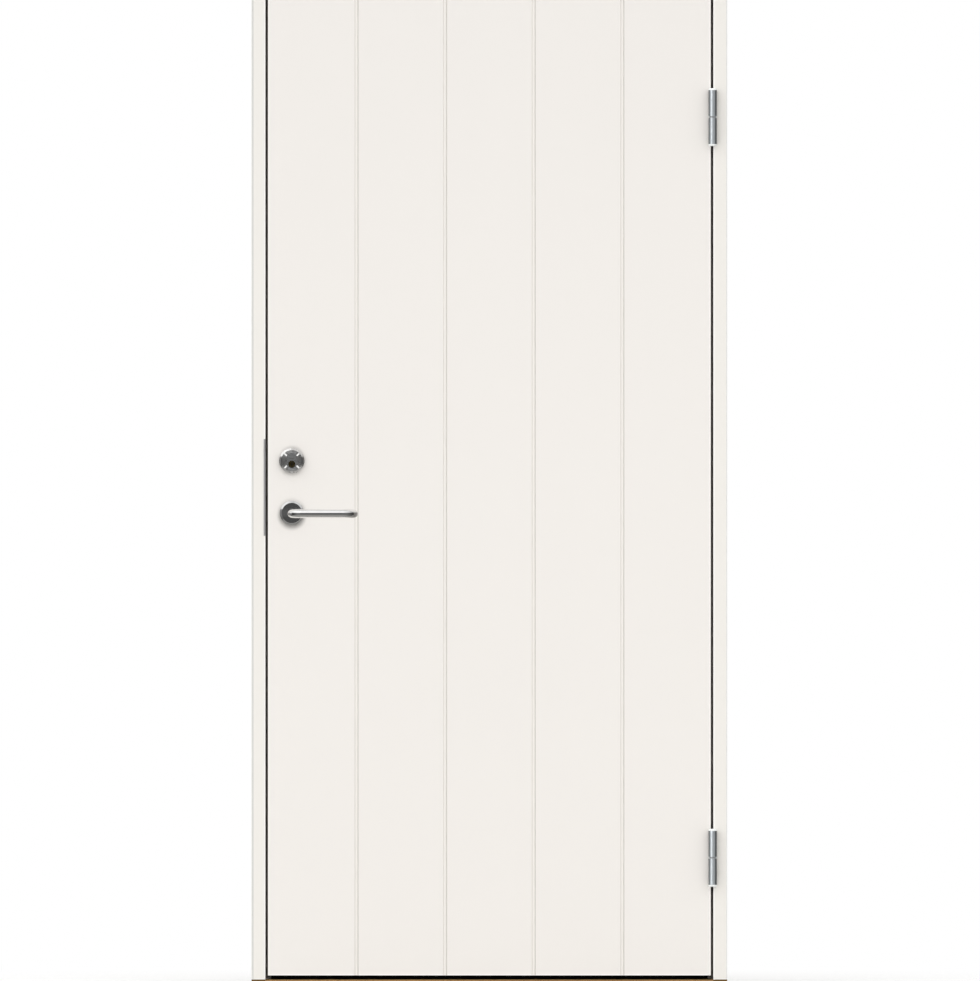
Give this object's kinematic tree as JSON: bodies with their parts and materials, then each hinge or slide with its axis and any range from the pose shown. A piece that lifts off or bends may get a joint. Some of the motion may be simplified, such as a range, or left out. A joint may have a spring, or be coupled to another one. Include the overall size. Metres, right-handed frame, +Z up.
{
  "type": "exterior door with frame",
  "caption": "Painted exterior door leaf with upright grooves in a rebated frame on an oak sill, swinging on lift-off hinges, with a bent lever handle and a key cylinder.",
  "frame": {"origin": "middle of the sill's underside", "axes": "+X to the right as seen from outside, +Y into the building, +Z up"},
  "size_m": [0.99, 0.1804, 2.09],
  "materials": {
    "frame_paint": "satin",
    "leaf_paint": "satin",
    "oak": "satin",
    "seal_rubber": "matte",
    "hinge_steel": "satin",
    "lock_steel": "satin",
    "handle_metal": "polished",
    "plug_brass": "satin",
    "fibre_core": "matte"
  },
  "bodies": {
    "frame": {"lock_jamb": "frame_paint", "hinge_jamb": "frame_paint", "head_jamb": "frame_paint", "threshold": "oak", "lock_side_seal": "seal_rubber", "hinge_side_seal": "seal_rubber", "head_seal": "seal_rubber", "threshold_seal": "seal_rubber", "strike_plate": "lock_steel", "upper_hinge_frame_half": "hinge_steel", "lower_hinge_frame_half": "hinge_steel"},
    "leaf": {"outer_panel": "leaf_paint", "inner_panel": "leaf_paint", "lock_stile": "leaf_paint", "hinge_stile": "leaf_paint", "top_rail": "leaf_paint", "bottom_rail": "leaf_paint", "insulation_core": "fibre_core", "lock_case": "lock_steel", "lock_edge_plate": "lock_steel", "latch_bolt": "lock_steel", "dead_bolt": "lock_steel", "outer_rosette": "handle_metal", "inner_rosette": "handle_metal", "cylinder_ring": "handle_metal", "cylinder_body": "handle_metal", "thumb_turn_rosette": "handle_metal", "thumb_turn": "handle_metal", "upper_hinge_leaf_half": "hinge_steel", "lower_hinge_leaf_half": "hinge_steel"},
    "handle": {"outer_lever": "handle_metal", "inner_lever": "handle_metal", "spindle": "lock_steel"},
    "plug": {"key_plug": "plug_brass"}
  },
  "joints": [
    {"name": "door_swing", "type": "hinge", "parent": "frame", "child": "leaf", "pos_m": [0.4648, -0.0623, 1], "axis": [0, 0, 1], "range_deg": [0, 175]},
    {"name": "lever_turn", "type": "hinge", "parent": "leaf", "child": "handle", "pos_m": [-0.411, -0.0215, 0.983], "axis": [0, 1, 0], "range_deg": [0, 45], "stiffness_Nm_per_rad": 1.5, "springref_deg": -45.84},
    {"name": "key_plug_turn", "type": "hinge", "parent": "leaf", "child": "plug", "pos_m": [-0.411, -0.0525, 1.0845], "axis": [0, 1, 0], "range_deg": [-90, 90]}
  ]
}
